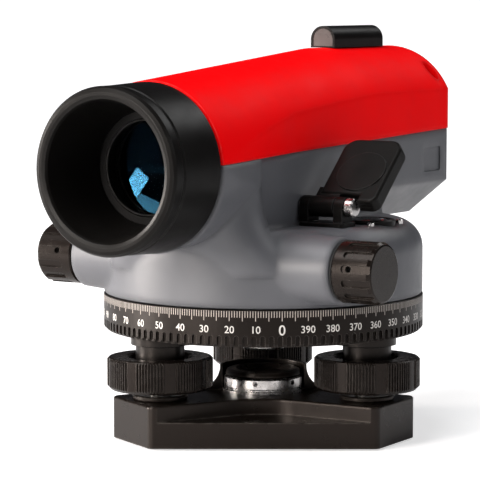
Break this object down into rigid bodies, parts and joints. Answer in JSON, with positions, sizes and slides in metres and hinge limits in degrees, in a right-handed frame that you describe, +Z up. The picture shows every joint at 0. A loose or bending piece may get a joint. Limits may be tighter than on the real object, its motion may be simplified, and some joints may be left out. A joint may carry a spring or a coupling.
{
  "type": "automatic level",
  "caption": "Automatic surveying level: telescope with compensator on a divided circle and a three-screw levelling base, with focusing and tangent knobs and a mirror over its circular vial.",
  "frame": {"origin": "on the vertical axis, at the underside of the base where the tripod thread opens", "axes": "+Z up along the vertical axis; the telescope lies along Y with its objective towards -Y and its eyepiece towards +Y; the circular vial is on the +X side"},
  "size_m": [0.1316, 0.2032, 0.14],
  "materials": {
    "housing_grey": "satin enamel",
    "cover_red": "semi-gloss enamel",
    "base_black": "semi-gloss enamel",
    "knob_black": "satin",
    "hood_black": "satin",
    "circle_black": "black anodised",
    "head_black": "black anodised",
    "chrome": "polished",
    "steel": "turned",
    "brass": "turned",
    "inner_black": "black anodised",
    "rubber": "matt",
    "lens_glass": "coated",
    "vial_glass": "clear",
    "window": "frosted",
    "mirror": "silvered"
  },
  "bodies": {
    "base": {"base_plate": "base_black", "base_pads": "rubber", "tripod_bush": "brass", "clamp_ring": "chrome", "hub_cap": "base_black", "foot_screw_seats": "base_black"},
    "foot_screw_1": {"foot_knob_1": "knob_black", "foot_stem_1": "steel"},
    "foot_screw_2": {"foot_knob_2": "knob_black", "foot_stem_2": "steel"},
    "foot_screw_3": {"foot_knob_3": "knob_black", "foot_stem_3": "steel"},
    "head": {"levelling_head": "head_black", "foot_sleeves": "head_black", "axis_spindle": "steel", "spindle_nut": "brass"},
    "circle": {"horizontal_circle": "circle_black"},
    "alidade": {"lower_housing": "housing_grey", "upper_cover": "cover_red", "cover_screws": "steel", "floor_plate": "inner_black", "axis_bush": "brass", "objective_hood": "hood_black", "objective_cell": "inner_black", "objective_lens": "lens_glass", "inner_tube": "inner_black", "compensator_frame": "inner_black", "fixed_prisms": "lens_glass", "eyepiece_tube": "hood_black", "reticle": "lens_glass", "tangent_seals": "rubber", "vial_housing": "hood_black", "vial_glass": "vial_glass", "vial_screws": "chrome", "mirror_bracket": "hood_black", "hinge_pin": "chrome", "sight_body": "hood_black", "sight_window": "window"},
    "worm_wheel": {"worm_wheel": "brass"},
    "tangent": {"tangent_shaft": "steel", "tangent_knob_left": "knob_black", "tangent_knob_right": "knob_black", "tangent_set_screws": "steel"},
    "focus": {"focus_knob": "knob_black", "focus_shaft": "steel"},
    "focus_slide": {"focus_cell": "inner_black", "focus_lens": "lens_glass"},
    "pendulum": {"pendulum": "brass", "pendulum_prism": "lens_glass"},
    "diopter": {"diopter_ring": "knob_black", "eyepiece_lens": "lens_glass", "eyecup": "rubber"},
    "mirror": {"mirror_lid": "hood_black", "mirror_glass": "mirror"}
  },
  "joints": [
    {"name": "foot_screw_1_turn", "type": "hinge", "parent": "base", "child": "foot_screw_1", "pos_m": [0.04038, 0.00141, 0.0104], "axis": [0, 0, 1], "range_deg": [-720, 720]},
    {"name": "foot_screw_2_turn", "type": "hinge", "parent": "base", "child": "foot_screw_2", "pos_m": [-0.02141, 0.03426, 0.0104], "axis": [0, 0, 1], "range_deg": [-720, 720]},
    {"name": "foot_screw_3_turn", "type": "hinge", "parent": "base", "child": "foot_screw_3", "pos_m": [-0.01897, -0.03567, 0.0104], "axis": [0, 0, 1], "range_deg": [-720, 720]},
    {"name": "head_lift", "type": "slide", "parent": "base", "child": "head", "axis": [0, 0, 1], "range_m": [-0.0015, 0.0015]},
    {"name": "circle_turn", "type": "hinge", "parent": "head", "child": "circle", "pos_m": [0, 0, 0.043], "axis": [0, 0, 1], "continuous": true},
    {"name": "telescope_turn", "type": "hinge", "parent": "head", "child": "alidade", "pos_m": [0, 0, 0.05], "axis": [0, 0, 1], "continuous": true},
    {"name": "tangent_turn", "type": "hinge", "parent": "alidade", "child": "tangent", "pos_m": [0, -0.0325, 0.062], "axis": [1, 0, 0], "continuous": true},
    {"name": "worm_wheel_turn", "type": "hinge", "parent": "alidade", "child": "worm_wheel", "pos_m": [0, 0, 0.062], "axis": [0, 0, 1], "continuous": true},
    {"name": "focus_turn", "type": "hinge", "parent": "alidade", "child": "focus", "pos_m": [0, 0.018, 0.094], "axis": [1, 0, 0], "range_deg": [0, 458]},
    {"name": "focus_travel", "type": "slide", "parent": "alidade", "child": "focus_slide", "axis": [0, 1, 0], "range_m": [0, 0.02]},
    {"name": "compensator_swing", "type": "hinge", "parent": "alidade", "child": "pendulum", "pos_m": [0, 0.036, 0.111], "axis": [1, 0, 0], "range_deg": [-0.5, 0.5]},
    {"name": "diopter_turn", "type": "hinge", "parent": "alidade", "child": "diopter", "pos_m": [0, 0.095, 0.0959], "axis": [0, 1, 0], "range_deg": [-150, 150]},
    {"name": "mirror_lid_turn", "type": "hinge", "parent": "alidade", "child": "mirror", "pos_m": [0.0362, -0.015, 0.081], "axis": [1, 0, 0], "range_deg": [-42.3, 27.7]}
  ],
  "couplings": [
    {"joint": "foot_screw_1_turn", "follows": "head_lift", "rad_per_m": -8377.6},
    {"joint": "foot_screw_2_turn", "follows": "head_lift", "rad_per_m": -8377.6},
    {"joint": "foot_screw_3_turn", "follows": "head_lift", "rad_per_m": -8377.6},
    {"joint": "tangent_turn", "follows": "worm_wheel_turn", "ratio": -72},
    {"joint": "focus_travel", "follows": "focus_turn", "m_per_rad": 0.0025}
  ]
}
